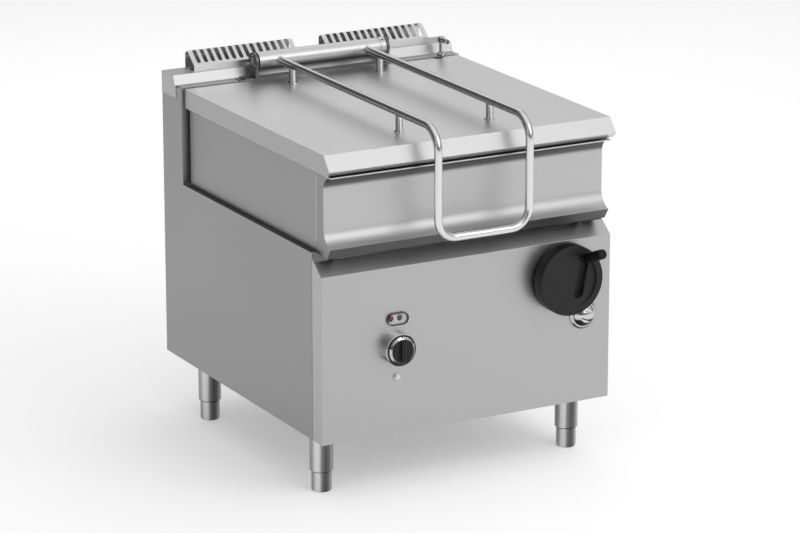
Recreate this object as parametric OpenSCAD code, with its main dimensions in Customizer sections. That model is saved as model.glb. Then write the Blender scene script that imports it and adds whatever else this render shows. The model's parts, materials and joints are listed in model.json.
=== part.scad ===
// Tilting bratt pan: closed cabinet on four legs, pan tilted by a handwheel, hinged lid.

/* [Cabinet] */
// Outside width over the side panels
cab_w = 800; // [790:1:810]
// Depth from the lid's front lip to the rear panel
unit_d = 900; // [890:1:910]
// Height of the lid's flat top above the floor
lid_top = 870; // [860:1:880]
// Underside of the cabinet above the floor
leg_h = 153; // [140:1:160]
// Thickness of the outer sheet
sheet = 2; // [1.5:0.5:2.5]

/* [Pan] */
// Outside width of the pan casing
pan_w = 768; // [760:1:768]
// Inside width of the tub
tub_w = 690; // [650:1:690]
// Inside length of the tub, front to back
tub_l = 630; // [600:1:630]
// Inside depth of the tub below its rim
tub_depth = 158; // [140:1:158]
// Corner radius of the tub
tub_r = 45; // [20:1:60]
// Thickness of the tub's base
tub_base = 10; // [8:1:10]

/* [Lid] */
// Width over the lid's side skirts
lid_w = 786.6; // [784:0.2:788]
// Height of the lid's skirt
lid_h = 49; // [45:1:50]
// Diameter of the hinge tube
hinge_d = 46; // [40:1:46]
// Diameter of the handle tube
handle_d = 20; // [16:1:22]
// Distance between the two long handle tubes
handle_w = 250; // [220:1:260]

/* [Tilting drive] */
// Tooth module of the toothed sector
tooth_m = 4; // [4:1:4]
// Teeth on the full circle of the sector
sector_teeth = 63; // [63:1:63]
// Pitch radius of the worm
worm_r = 16; // [16:1:17]
// Angle of the worm below the horizontal, seen from the pivot
mesh_angle = 22; // [22:1:22]
// Diameter of the handwheel
wheel_d = 176; // [160:1:176]
// Height of the handwheel's centre
wheel_z = 482; // [478:1:484]
// Length of the folding grip from its pin
grip_l = 79; // [60:1:80]

/* [Controls] */
// Distance of the knob from the middle of the panel
knob_x = 199; // [180:1:220]
// Height of the knob
knob_z = 370; // [350:1:380]
// Height of the signal lamps
lamp_z = 442; // [430:1:460]
// Height of the reset button
reset_z = 296; // [280:1:310]
// Distance of the water tap from the middle of the panel
tap_x = 323; // [318:1:330]
// Height of the water tap
tap_z = 378; // [370:1:380]

/* [Legs] */
// Distance of each leg from the middle plane
leg_x = 346.5; // [330:0.5:346.5]
// Distance of each leg from the middle, front to back
leg_y = 310; // [290:1:320]
// Diameter of the leg sleeve
sleeve_d = 58; // [50:1:58]
// Diameter of the adjustable foot
foot_d = 50; // [44:1:50]

/* [Hidden] */
$fn = 64;
hw = cab_w / 2;
front_y = -unit_d / 2;
back_y = unit_d / 2;
panel_y = front_y + 30.6;
seam_y = front_y + 80;
side_top = lid_top - 248;
slope_z = lid_top - 298.6;
column_y = back_y - 112.5;
ledge_z = lid_top + 1.6;
cap_z = lid_top + 25;
cap_y = back_y - 77.6;
grille_y = back_y - 60;
rim_z = lid_top - 52;
tub_z = rim_z - tub_depth;
cover_z = lid_top - 230;
casing_x = pan_w / 2;
casing_back = back_y - 127;
tub_mid_y = -30;
pivot = [front_y + 52, lid_top - 246];
hinge = [back_y - 100, lid_top + 44.4];
handle_x = handle_w / 2;
handle_z = lid_top + 45;
loop_y = front_y - 41;
loop_z = lid_top - 223;
loop_r_top = 57;
loop_r_low = 50;
pitch_r = tooth_m * sector_teeth / 2;
worm_pitch = PI * tooth_m;
tooth_step = 360 / sector_teeth;
lead_angle = atan(worm_pitch / (2 * PI * worm_r));
wheel_x = 264;
sector_t = 14;
mesh_n = [cos(mesh_angle), -sin(mesh_angle)];
mesh_t = [sin(mesh_angle), cos(mesh_angle)];
worm_c = pivot + (pitch_r + worm_r) * mesh_n;
box_t = (wheel_z - worm_c[1]) / mesh_t[1];
box_y = worm_c[0] + box_t * mesh_t[0];
box_h = 24;
wheel_back = panel_y - 9;
wheel_front = panel_y - 46.6;
slot_dir = 12.25;
grip_pin = [wheel_x + 38, wheel_front + 4, wheel_z + 50];
grip_lean = 23;
grip_tip_r = 11.5;
grip_edge = 2;
spout = [352, back_y - 103];
run_gap = 0.05;
pipe_x = 374;
inlet = [310, back_y - 85];

// The grip's tip is the foremost point and the rear panel the hindmost one.
grip_reach = (grip_l - grip_edge) * cos(grip_lean) + (grip_tip_r - grip_edge) * sin(grip_lean) + grip_edge;
frame_y = -(grip_pin[1] - grip_reach + back_y) / 2;

module placed() translate([0, frame_y, 0]) children();
module block(a, b) translate(a) cube(b - a);
module both_sides() {
    children();
    mirror([1, 0, 0]) children();
}
// Extrudes an outline drawn in (y, z) from x0 to x1.
module along_x(x0, x1) translate([x0, 0, 0]) rotate([90, 0, 90]) linear_extrude(x1 - x0) children();
// Extrudes an outline drawn in (x, z) from y0 to y1.
module along_y(y0, y1) translate([0, y1, 0]) rotate([90, 0, 0]) linear_extrude(y1 - y0) children();
// A round bar or hole of radius r from y0 to y1 about (x, z).
module rod_y(x, z, r, y0, y1) translate([x, y1, z]) rotate([90, 0, 0]) cylinder(h = y1 - y0, r = r);
module rod_x(y, z, r, x0, x1) translate([x0, y, z]) rotate([0, 90, 0]) cylinder(h = x1 - x0, r = r);
module rounded_plate(w, l, r) {
    square([w - 2 * r, l], center = true);
    square([w, l - 2 * r], center = true);
    for (sx = [-1, 1], sy = [-1, 1]) translate([sx * (w / 2 - r), sy * (l / 2 - r)]) circle(r);
}
// A slot with round ends, of overall size w by h, w the longer.
module slot_shape(w, h) {
    square([w - h, h], center = true);
    for (s = [-1, 1]) translate([s * (w - h) / 2, 0]) circle(h / 2);
}
function arc_points(c, r, a0, a1, n) = [for (i = [0:n]) let (a = a0 + (a1 - a0) * i / n) c + r * [cos(a), sin(a)]];
function left_normal(a, b) = let (d = b - a) [-d[1], d[0]] / norm(d);
function offset_path(p, t) = let (last = len(p) - 1) [
    for (i = [0:last])
        let (
            n1 = i == 0 ? left_normal(p[0], p[1]) : left_normal(p[i - 1], p[i]),
            n2 = i == last ? n1 : left_normal(p[i], p[i + 1])
        )
        p[i] + t * (n1 + n2) / (1 + n1 * n2)
];
function reversed(p) = [for (i = [len(p) - 1:-1:0]) p[i]];
// A bent sheet of thickness t on the left of path p, or on its right where t is negative.
module bent_sheet(p, t) polygon(concat(p, reversed(offset_path(p, t))));
// Straight round pipes between points, with a round elbow fitting at each bend.
module pipe_run(p, r) for (i = [0:len(p) - 2]) {
    d = p[i + 1] - p[i];
    translate(p[i]) rotate([0, acos(d[2] / norm(d)), atan2(d[1], d[0])]) cylinder(h = norm(d), r = r);
    if (i > 0) translate(p[i]) sphere(r + 2);
}

// Cabinet

module base_frame() color("silver") placed() {
    wide = 60;
    high = 30;
    z0 = leg_h + sheet;
    x1 = hw - 3;
    y0 = seam_y + 3;
    y1 = back_y - 3;
    difference() {
        block([-x1, y0, z0], [x1, y1, z0 + high]);
        block([-x1 + wide, y0 + wide, z0 - 1], [x1 - wide, y1 - wide, z0 + high + 1]);
        difference() {
            block([-x1 + sheet, y0 + sheet, z0 + sheet], [x1 - sheet, y1 - sheet, z0 + high + 1]);
            block([-x1 + wide - sheet, y0 + wide - sheet, z0], [x1 - wide + sheet, y1 - wide + sheet, z0 + high + 2]);
        }
    }
    for (s = [-1, 1]) difference() {
        block([s * inlet[0] - 28, inlet[1] - 26, z0], [s * inlet[0] + 28, inlet[1] + 22, z0 + sheet]);
        translate([s * inlet[0], inlet[1], z0 - 1]) cylinder(h = sheet + 2, r = s < 0 ? 12.1 : 10.5);
    }
}

module side_panel() {
    z_cap = cap_z - 1.6;
    outline = [
        [back_y, leg_h], [seam_y, leg_h], [seam_y, side_top], [column_y, side_top], [column_y, ledge_z],
        [cap_y + 1.6, ledge_z - 3], [cap_y + 12.6, z_cap], [back_y, z_cap]
    ];
    along_x(-hw, -hw + sheet) polygon(outline);
    block([-hw + sheet, seam_y, side_top - sheet], [-hw + 14, column_y, side_top]);
    block([-hw + sheet, seam_y, leg_h], [-hw + 20, back_y - sheet, leg_h + sheet]);
    block([-hw + sheet, back_y - 2 * sheet, leg_h + 34], [-hw + 18, back_y - sheet, z_cap - 2]);
}
module left_side_panel() color("lightgray") placed() side_panel();
module right_side_panel() color("lightgray") placed() mirror([1, 0, 0]) side_panel();

module front_panel() color("lightgray") placed() {
    top = [panel_y + 39, side_top - 21];
    path = [[seam_y - 1, leg_h], [panel_y, leg_h], [panel_y, slope_z], top, top - [0, 12]];
    difference() {
        along_x(-hw, hw) bent_sheet(path, -sheet);
        rod_y(wheel_x, wheel_z, 13, panel_y - 1, panel_y + 4);
        rod_y(-knob_x, knob_z, 6, panel_y - 1, panel_y + 4);
        rod_y(-knob_x + 2, reset_z, 8, panel_y - 1, panel_y + 4);
        rod_y(tap_x, tap_z, 13, panel_y - 1, panel_y + 4);
        along_y(panel_y - 1, panel_y + 4) translate([-knob_x + 3, lamp_z]) slot_shape(55, 24);
    }
    both_sides() along_x(-hw, -hw + sheet)
        polygon([[seam_y - 0.4, leg_h], [panel_y, leg_h], [panel_y, slope_z], top, [seam_y - 0.4, side_top - 13.4]]);
}

module rear_panel() color("silver") placed() difference() {
    block([-hw + sheet, back_y - sheet, leg_h + sheet], [hw - sheet, back_y, cap_z - 1.6]);
    for (row = [0:5], s = [-1, 1])
        along_y(back_y - 3, back_y + 1) translate([s * 190, 640 + 28 * row]) slot_shape(150, 9);
}

module column_front_panel() color("lightgray") placed() {
    t = 1.5;
    tray_x = 237;
    tray_z = rim_z - 28;
    tray_y = back_y - 80.5;
    difference() {
        along_x(-hw + sheet, hw - sheet)
            bent_sheet([[column_y, side_top], [column_y, ledge_z], [cap_y - 0.4, ledge_z]], -t);
        block([-tray_x, column_y - 1, tray_z], [tray_x, tray_y + t, ledge_z + 1]);
        translate([spout[0], spout[1], ledge_z - 3]) cylinder(h = 4, r = 7);
    }
    difference() {
        block([-tray_x - t, column_y, tray_z - t], [tray_x + t, tray_y + t, ledge_z]);
        block([-tray_x, column_y - 1, tray_z], [tray_x, tray_y, ledge_z + 1]);
    }
}

module column_cap() color("lightgray") placed() {
    t = 1.5;
    low = [cap_y, ledge_z - 2.2];
    knee = [cap_y + 10.9, cap_z];
    difference() {
        along_x(-hw - 1.2, hw + 1.2) bent_sheet([low, knee, [back_y, cap_z]], -t);
        both_sides() block([48, grille_y + 8, cap_z - 2], [333, back_y - 12, cap_z + 1]);
    }
    both_sides() along_x(-hw - 1.2, -hw)
        polygon([[low[0] - 5, lid_top - 30], [back_y, lid_top - 30], [back_y, cap_z], knee, low, [low[0] - 5, low[1]]]);
}

// A slotted flue outlet: upright lip, slanted face and a round top, with the slots running over it.
module flue_grille() {
    t = 1.5;
    x0 = 43;
    x1 = 338;
    count = 14;
    pitch = 20;
    slant = atan2(26, 32);
    foot = [grille_y, cap_z + 17];
    top = foot + 42.5 * [cos(slant), sin(slant)];
    r = 12.5;
    c = top + r * [sin(slant), -cos(slant)];
    path = concat([[grille_y, cap_z], foot], arc_points(c, r, 90 + slant, 0, 14), [[c[0] + r, cap_z]]);
    difference() {
        along_x(x0, x1) bent_sheet(path, -t);
        for (i = [0:count - 1])
            translate([(x0 + x1) / 2 + (i - (count - 1) / 2) * pitch, foot[0], foot[1]]) rotate([slant, 0, 0])
                translate([0, 30, -14]) linear_extrude(18) rotate(90) slot_shape(48, 11);
    }
}
module left_flue_grille() color("gainsboro") placed() mirror([1, 0, 0]) flue_grille();
module right_flue_grille() color("gainsboro") placed() flue_grille();

module leg_sleeves() color("silver") placed() {
    nut_z = foot_d + 34;
    for (sx = [-1, 1], sy = [-1, 1]) translate([sx * leg_x, sy * leg_y, 0]) difference() {
        union() {
            translate([0, 0, foot_d + 3]) cylinder(h = leg_h + sheet - foot_d - 3, d = sleeve_d);
            translate([0, 0, leg_h - 3]) cylinder(h = 3 + sheet, d = sleeve_d + 4);
        }
        translate([0, 0, foot_d]) cylinder(h = nut_z - foot_d, d = sleeve_d - 5);
        translate([0, 0, foot_d]) cylinder(h = leg_h - foot_d - 1, r = 8 + run_gap);
    }
}

module levelling_foot() {
    edge = 4;
    rotate_extrude() {
        translate([0, edge]) square([foot_d / 2, foot_d - edge]);
        square([foot_d / 2 - edge, foot_d]);
        translate([foot_d / 2 - edge, edge]) circle(edge);
    }
    translate([0, 0, foot_d - 1]) cylinder(h = leg_h - foot_d - 7, r = 8);
}

// Pan pivot

module pivot_bracket() {
    top = pivot + [0, 12.5];
    difference() {
        union() {
            rod_x(pivot[0], pivot[1], 12.5, 334, 346);
            along_x(334, 346) polygon([
                top, pivot + [36, 6], pivot + [52, -64], pivot + [32, -64], pivot + [24, -17], pivot + [0, -12.5]
            ]);
        }
        rod_x(pivot[0], pivot[1], 9, 333, 347);
    }
    block([334, pivot[0] + 30, pivot[1] - 70], [hw - sheet, pivot[0] + 54, pivot[1] - 64]);
}
module left_pivot_bracket() color("dimgray") placed() mirror([1, 0, 0]) pivot_bracket();
module right_pivot_bracket() color("dimgray") placed() pivot_bracket();

module pivot_bushes() color("goldenrod") placed() both_sides() difference() {
    rod_x(pivot[0], pivot[1], 9, 334, 346);
    rod_x(pivot[0], pivot[1], 7 + run_gap, 333, 347);
}

module pan_rest() color("dimgray") placed() {
    y = back_y - 150;
    block([-hw + sheet, y - 15, side_top - 30], [hw - sheet, y + 15, side_top - 10]);
    for (s = [-1, 1]) translate([s * 300, y, side_top - 10]) cylinder(h = cover_z - sheet - 0.3 - side_top + 10, r = 14);
}

// Tilting drive

// Places an object with its z axis along the worm and its y axis away from the pan's pivot.
module on_worm() translate([wheel_x, worm_c[0], worm_c[1]]) rotate([-mesh_angle, 0, 0]) children();

module drive_gearbox() color("slategray") placed() {
    difference() {
        union() {
            block([wheel_x - box_h, box_y - box_h, wheel_z - box_h], [wheel_x + box_h, box_y + box_h, wheel_z + box_h]);
            on_worm() block([-18, 22, box_t], [18, 28, 36]);
            block([wheel_x + box_h, box_y - box_h, wheel_z - 6], [hw - sheet, box_y + box_h, wheel_z + 6]);
        }
        rod_y(wheel_x, wheel_z, 7 + run_gap, box_y - box_h - 1, box_y - 12);
        on_worm() translate([0, 0, box_t + 10]) cylinder(h = 60, r = 8 + run_gap);
    }
}

module worm_bearing() color("goldenrod") placed() on_worm() difference() {
    block([-14, -11, 24], [14, 22, 35]);
    translate([0, 0, 23]) cylinder(h = 13, r = 8 + run_gap);
}

module wheel_bearing() color("darkgray") placed() difference() {
    union() {
        rod_y(wheel_x, wheel_z, 22, panel_y - 8, panel_y);
        rod_y(wheel_x, wheel_z, 13, panel_y - 1, panel_y + sheet);
    }
    rod_y(wheel_x, wheel_z, 7 + run_gap, panel_y - 9, panel_y + sheet + 1);
}

module wheel_shaft() color("silver") placed() rod_y(wheel_x, wheel_z, 7, wheel_back - 14, box_y - 14);

// The dished wheel: raised rim, flat face and a slot that takes the folded grip.
module handwheel() color("#2b2b2b") placed() {
    r = wheel_d / 2;
    rim = 17;
    depth = wheel_back - wheel_front;
    face = depth - 3;
    slot_w = 27;
    slot_l = 112;
    u = [sin(slot_dir), cos(slot_dir)];
    difference() {
        translate([wheel_x, wheel_back, wheel_z]) rotate([90, 0, 0]) rotate_extrude($fn = 128) polygon([
            [0, 0], [r - 6, 0], [r, 5], [r, depth - 4], [r - 4, depth], [r - rim, depth], [r - rim - 2, face], [0, face]
        ]);
        along_y(wheel_front - 1, grip_pin[1] + 14)
            translate([grip_pin[0], grip_pin[2]] - u * (slot_l - slot_w) / 2) rotate(90 - slot_dir) slot_shape(slot_l, slot_w);
        rod_y(wheel_x, wheel_z, 7, wheel_back - 14, wheel_back + 1);
    }
    translate(grip_pin) rotate([0, slot_dir, 0]) rotate([0, 90, 0]) translate([0, 0, -slot_w / 2 - 4]) cylinder(h = slot_w + 8, r = 3);
}

module crank_grip() color("#1c1c1c") placed() translate(grip_pin) rotate([0, slot_dir, 0]) rotate([-grip_lean, 0, 0]) rotate([90, 0, 0]) {
    neck = 14;
    root_r = 12.5;
    r_end = grip_tip_r;
    difference() {
        union() {
            translate([-4, -8, 0]) cube([8, 16, neck]);
            translate([-4, 0, 0]) rotate([0, 90, 0]) cylinder(h = 8, r = 8);
            translate([0, 0, neck]) cylinder(h = 12, r1 = 8.5, r2 = root_r);
            translate([0, 0, neck + 12]) cylinder(h = grip_l - grip_edge - neck - 12, r1 = root_r, r2 = r_end);
            translate([0, 0, grip_l - grip_edge]) cylinder(h = grip_edge, r = r_end - grip_edge);
            translate([0, 0, grip_l - grip_edge]) rotate_extrude() translate([r_end - grip_edge, 0]) circle(grip_edge);
        }
        translate([-5, 0, 0]) rotate([0, 90, 0]) cylinder(h = 10, r = 3 + run_gap);
    }
}

// The cross-section of a one-start worm, turned once per pitch along the shaft.
module tilt_worm() color("darkkhaki") placed() on_worm() {
    core_r = 11.5;
    half = 2.7;
    reach = 20;
    slope = tan(20);
    crest = 360 * (half - tooth_m * slope) / worm_pitch;
    root = 360 * (half + (worm_r - core_r) * slope) / worm_pitch;
    tip_r = worm_r + tooth_m;
    turn = function (r, a) r * [sin(a), -cos(a)];
    outline = concat(
        [turn(tip_r, -crest), turn(tip_r, crest), turn(worm_r, (crest + root) / 2)],
        [for (k = [0:8]) turn(core_r, root + (360 - 2 * root) * k / 8)], [turn(worm_r, -(crest + root) / 2)]
    );
    translate([0, 0, -reach]) linear_extrude(2 * reach, twist = -720 * reach / worm_pitch, slices = 64, $fn = 12)
        rotate(-360 * reach / worm_pitch) polygon(outline);
}

module worm_shaft() color("silver") placed() on_worm() translate([0, 0, box_t + 12]) cylinder(h = 26 - box_t, r = 8);

// The toothed sector hangs under the pan; its teeth lean with the worm's lead.
module sector_gear() color("gray") placed() translate([wheel_x, pivot[0], pivot[1]]) {
    root_r = pitch_r - 1.25 * tooth_m;
    tip_r = pitch_r + tooth_m;
    half = 2.7;
    slope = tan(20);
    a_low = -97;
    a_high = -mesh_angle + 4;
    first = ceil((a_low + mesh_angle) / tooth_step - 0.5);
    wedge = 2 * pitch_r;
    along_x(-sector_t / 2, sector_t / 2) {
        intersection() {
            difference() {
                circle(root_r, $fn = 180);
                circle(100, $fn = 120);
            }
            polygon([
                [0, 0], wedge * [cos(a_low), sin(a_low)], wedge * [cos(-60), sin(-60)], wedge * [cos(a_high), sin(a_high)]
            ]);
        }
        intersection() {
            circle(root_r - 2, $fn = 180);
            difference() {
                polygon([[30, cover_z - sheet - pivot[1]], [118, cover_z - sheet - pivot[1]], [118, -45], [80, -90], [30, -110]]);
                polygon([[50, -6], [90, -6], [84, -42], [50, -76]]);
            }
        }
    }
    for (k = [first:0]) rotate([-mesh_angle + (k + 0.5) * tooth_step, 0, 0]) rotate([0, -lead_angle, 0])
        along_x(-sector_t / 2, sector_t / 2) polygon([
            [root_r - 2, -half - 7 * slope], [tip_r, -half + tooth_m * slope],
            [tip_r, half - tooth_m * slope], [root_r - 2, half + 7 * slope]
        ]);
}

// Pan

module pan_tub() color("gainsboro") placed() {
    wall = 3;
    rim_front = front_y + 10;
    difference() {
        union() {
            translate([0, tub_mid_y, tub_z - tub_base])
                linear_extrude(rim_z - tub_z + tub_base) rounded_plate(tub_w + 2 * wall, tub_l + 2 * wall, tub_r + wall);
            block([-casing_x, rim_front, rim_z - 3], [casing_x, casing_back, rim_z]);
        }
        translate([0, tub_mid_y, tub_z]) linear_extrude(tub_depth + 1) rounded_plate(tub_w, tub_l, tub_r);
    }
}

// Hollow front with a grip channel over a pouring lip; the outline follows the bent sheet.
module pan_front_fascia() color("lightgray") placed() {
    t = sheet;
    y_face = front_y + 49;
    upper = [y_face - 34, rim_z - 37];
    lower = [y_face - 45, rim_z - 133];
    heel = [front_y + 33, cover_z - 25];
    path = concat(
        [[front_y + 25, rim_z - 3.2]], arc_points(upper, 34, 71, 0, 16), arc_points(lower, 45, 0, -76, 20), [heel]
    );
    skin_y = seam_y + 5;
    top = rim_z - 3.2;
    difference() {
        along_x(-casing_x, casing_x)
            polygon(concat(path, [[skin_y, side_top - 3], [skin_y, top]]));
        along_x(-casing_x + t, casing_x - t) polygon(concat(
            offset_path(path, t), [heel + [2.2, -1], [skin_y + 1, heel[1] - 1], [skin_y + 1, top + 1]]
        ));
    }
}

module pan_side() {
    z0 = side_top - 3;
    z1 = rim_z - 3.2;
    y0 = seam_y + 5.6;
    block([casing_x - sheet, y0, z0], [casing_x, casing_back, z1]);
    block([casing_x - 16, y0, z1 - sheet], [casing_x - sheet, casing_back - sheet - 0.2, z1]);
    block([casing_x - 12, y0, z0], [casing_x - sheet, casing_back - sheet - 0.2, z0 + sheet]);
}
module pan_left_side() color("lightgray") placed() mirror([1, 0, 0]) pan_side();
module pan_right_side() color("lightgray") placed() pan_side();

module pan_rear_panel() color("lightgray") placed()
    block([-casing_x + sheet, casing_back - sheet, side_top - 3], [casing_x - sheet, casing_back, rim_z - 3.2]);

module pan_bottom_cover() color("silver") placed()
    block([-casing_x + sheet, pivot[0] - 13, cover_z - sheet], [casing_x - sheet, casing_back - sheet, cover_z]);

module heating_elements() color("dimgray") placed() {
    r = 3.7;
    z = tub_z - tub_base - r - 0.3;
    reach = 270;
    gap = 46;
    for (k = [-2:2]) translate([0, tub_mid_y + k * 2.6 * gap, z]) {
        for (s = [-1, 1]) translate([-reach, s * gap / 2, 0]) rotate([0, 90, 0]) cylinder(h = 2 * reach, r = r, $fn = 24);
        translate([reach, 0, 0]) rotate([0, 0, -90]) rotate_extrude(angle = 180, $fn = 48) translate([gap / 2, 0]) circle(r, $fn = 24);
    }
}

module pivot_lugs() color("gray") placed() both_sides() {
    for (x = [[328, 333], [347, 352]]) {
        rod_x(pivot[0], pivot[1], 13.5, x[0], x[1]);
        block([x[0], pivot[0] - 13, pivot[1]], [x[1], pivot[0] + 30, cover_z - sheet]);
    }
    rod_x(pivot[0], pivot[1], 7, 330, 350);
}

module hinge_rail() color("silver") placed() {
    x = 234;
    z0 = rim_z - 18;
    z1 = ledge_z + 0.4;
    y1 = back_y - 84;
    along_x(-x, x) polygon([
        [casing_back, z0], [y1, z0], [y1, z1], [column_y - 2.5, z1], [column_y - 2.5, z1 - 5],
        [y1 - 5, z1 - 5], [y1 - 5, z0 + 5], [casing_back, z0 + 5]
    ]);
    for (s = [-1, 1]) along_x(s * 205 - 2.5, s * 205 + 2.5)
        polygon([[column_y - 1.5, z0 + 4], [y1 - 4, z0 + 4], [y1 - 4, z1 - 4], [column_y - 1.5, z1 - 4]]);
}

// Drop-shaped hinge plates with their feet turned outwards, two screws in each foot.
module hinge_brackets() color("gainsboro") placed() {
    r = hinge_d / 2;
    z0 = ledge_z + 0.4;
    foot_r = 7;
    for (s = [[-193.5, -186.5, -227], [183, 190, 224]]) {
        difference() {
            along_x(s[0], s[1]) union() {
                translate(hinge) circle(r);
                polygon([
                    hinge + r * [cos(200), sin(200)], [hinge[0] - 15, z0], [hinge[0] + 15, z0], hinge + r * [cos(-20), sin(-20)]
                ]);
            }
            rod_x(hinge[0], hinge[1], 10, s[0] - 1, s[1] + 1);
        }
        x_in = abs(s[2] - s[0]) > abs(s[2] - s[1]) ? s[1] : s[0];
        translate([(s[2] + x_in) / 2, hinge[0], z0]) linear_extrude(4) rounded_plate(abs(s[2] - x_in), 30, foot_r);
        for (k = [0.35, 0.75]) translate([x_in + k * (s[2] - x_in), hinge[0], z0 + 3.5]) intersection() {
            translate([0, 0, -4]) sphere(7, $fn = 32);
            cylinder(h = 4, r = 5);
        }
    }
}

module hinge_shaft() color("silver") placed() rod_x(hinge[0], hinge[1], 10, -193.5, 190);

// A round wire wound about the shaft inside the hinge tube.
module torsion_spring() color("darkgray") placed() {
    wire = 1.8;
    mean_r = 14;
    turns = 12;
    steps = 16;
    len_x = 150;
    sides = 6;
    n = turns * steps;
    points = [
        for (i = [0:n], k = [0:sides - 1])
            let (a = 360 * i / steps, b = 360 * k / sides, r = mean_r + wire * cos(b))
            [len_x * (i / n - 0.5) + wire * sin(b) - 40, r * cos(a), r * sin(a)]
    ];
    faces = [
        for (i = [0:n - 1], k = [0:sides - 1])
            let (a = i * sides + k, b = i * sides + (k + 1) % sides) [a, b, b + sides, a + sides]
    ];
    translate([0, hinge[0], hinge[1]])
        polyhedron(points, concat([[for (k = [sides - 1:-1:0]) k]], faces, [[for (k = [0:sides - 1]) n * sides + k]]));
}

// Lid

module lid_shell() color("whitesmoke") placed() {
    t = sheet;
    x = lid_w / 2;
    z0 = lid_top - lid_h;
    rear = hinge[0] - 17;
    bevel = [front_y, lid_top - 35.3];
    difference() {
        along_x(-x, x) polygon([
            [rear, z0], [rear - 2.5, lid_top], [front_y + 29.3, lid_top], bevel, [front_y + 17, z0]
        ]);
        along_x(-x + t, x - t) polygon([
            [rear - t, z0 - 1], [rear - t, z0 + 5], [rear - 2.5 - t, lid_top - t], [front_y + 30.2, lid_top - t],
            bevel + [2.8, 0.2], [front_y + 18.5, z0 + 1.6], [front_y + 18.5, z0 - 1]
        ]);
        block([319, rear - 16, z0 + 5], [344, rear + 1, lid_top + 1]);
    }
    difference() {
        block([319 - t, rear - 16 - t, z0 + 5], [344 + t, rear - 2.2, lid_top - 1]);
        block([319, rear - 16, z0 + 4], [344, rear + 1, lid_top + 1]);
    }
}

// Inner sheet of the lid with the drip rim that hangs inside the tub.
module lid_liner() color("gainsboro") placed() {
    z0 = lid_top - lid_h + 0.3;
    drip = 12;
    block([-lid_w / 2 + 2.2, front_y + 19, z0], [lid_w / 2 - 2.2, hinge[0] - 19.2, z0 + sheet]);
    translate([0, tub_mid_y, z0 - drip]) difference() {
        linear_extrude(drip + 1) rounded_plate(tub_w - 12, tub_l - 12, tub_r - 6);
        translate([0, 0, -1]) linear_extrude(drip + 3) rounded_plate(tub_w - 16, tub_l - 16, tub_r - 8);
    }
    for (x = [-handle_x, handle_x]) along_y(front_y + 60, hinge[0] - 60) bent_sheet([
        [x - 45, z0 + sheet], [x - 25, z0 + sheet], [x - 25, lid_top - sheet - 0.2],
        [x + 25, lid_top - sheet - 0.2], [x + 25, z0 + sheet], [x + 45, z0 + sheet]
    ], -1.5);
}

module hinge_tube() color("whitesmoke") placed() {
    r = hinge_d / 2;
    cap = 6;
    difference() {
        rod_x(hinge[0], hinge[1], r, -183, 165);
        rod_x(hinge[0], hinge[1], r - 4, -183 + cap, 166);
        rod_x(hinge[0], hinge[1], 10 + run_gap, -184, 0);
    }
}

module tube_collar() color("whitesmoke") placed() difference() {
    rod_x(hinge[0], hinge[1], hinge_d / 2 + 1, 165, 180);
    rod_x(hinge[0], hinge[1], 10 + run_gap, 164, 181);
    for (a = [125, 55]) translate([172.5, hinge[0], hinge[1]]) rotate([a - 90, 0, 0]) translate([0, 0, 14]) cylinder(h = 12, r = 3);
}

module lid_handle() color("whitesmoke") placed() {
    r = handle_d / 2;
    difference() {
        both_sides() {
            rod_y(handle_x, handle_z, r, loop_y + loop_r_top, hinge[0] - 12);
            translate([handle_x, loop_y + loop_r_top, handle_z - loop_r_top]) rotate([90, 0, -90])
                rotate_extrude(angle = 90) translate([loop_r_top, 0]) circle(r);
            translate([handle_x, loop_y, loop_z + loop_r_low]) cylinder(h = handle_z - loop_r_top - loop_z - loop_r_low, r = r);
            translate([handle_x - loop_r_low, loop_y, loop_z + loop_r_low]) rotate([90, 0, 0])
                rotate_extrude(angle = -90) translate([loop_r_low, 0]) circle(r);
        }
        rod_x(hinge[0], hinge[1], hinge_d / 2, -200, 200);
    }
    rod_x(loop_y, loop_z, r, -handle_x + loop_r_low, handle_x - loop_r_low);
}

module handle_posts() color("whitesmoke") placed() difference() {
    for (s = [-1, 1], y = [front_y + 151, back_y - 188]) translate([s * handle_x, y, lid_top]) {
        cylinder(h = handle_z - lid_top, d = 18);
        cylinder(h = 2.5, r = 13);
    }
    for (s = [-1, 1]) rod_y(s * handle_x, handle_z, handle_d / 2, front_y, back_y);
}

// Controls

module lamp_bezel() color("gainsboro") placed() {
    stand = 6;
    difference() {
        union() {
            along_y(panel_y - stand, panel_y) translate([-knob_x + 3, lamp_z]) slot_shape(58, 31);
            along_y(panel_y - 1, panel_y + 12) translate([-knob_x + 3, lamp_z]) slot_shape(54, 23);
        }
        along_y(panel_y - stand - 1, panel_y - 2) translate([-knob_x + 3, lamp_z]) slot_shape(50, 23);
        for (x = [-15, 9]) rod_y(-knob_x + x, lamp_z + 2, 7.5, panel_y - stand, panel_y + 13);
    }
}
module lamp_lens(x) {
    rod_y(x, lamp_z + 2, 7.5, panel_y - 2.5, panel_y + 11);
    translate([x, panel_y - 2.5, lamp_z + 2]) rotate([90, 0, 0]) intersection() {
        translate([0, 0, -11]) sphere(13.5);
        cylinder(h = 5, r = 7.5);
    }
}
module red_lens() color("firebrick") placed() lamp_lens(-knob_x - 15);
module green_lens() color("seagreen") placed() lamp_lens(-knob_x + 9);

module knob_bezel() color("whitesmoke") placed() difference() {
    union() {
        rod_y(-knob_x, knob_z, 40, panel_y - 24, panel_y);
        translate([-knob_x, panel_y - 23.9, knob_z]) rotate([90, 0, 0]) cylinder(h = 2, r1 = 40, r2 = 38);
    }
    rod_y(-knob_x, knob_z, 36, panel_y - 27, panel_y - 4);
    rod_y(-knob_x, knob_z, 6, panel_y - 5, panel_y + 1);
}

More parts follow.
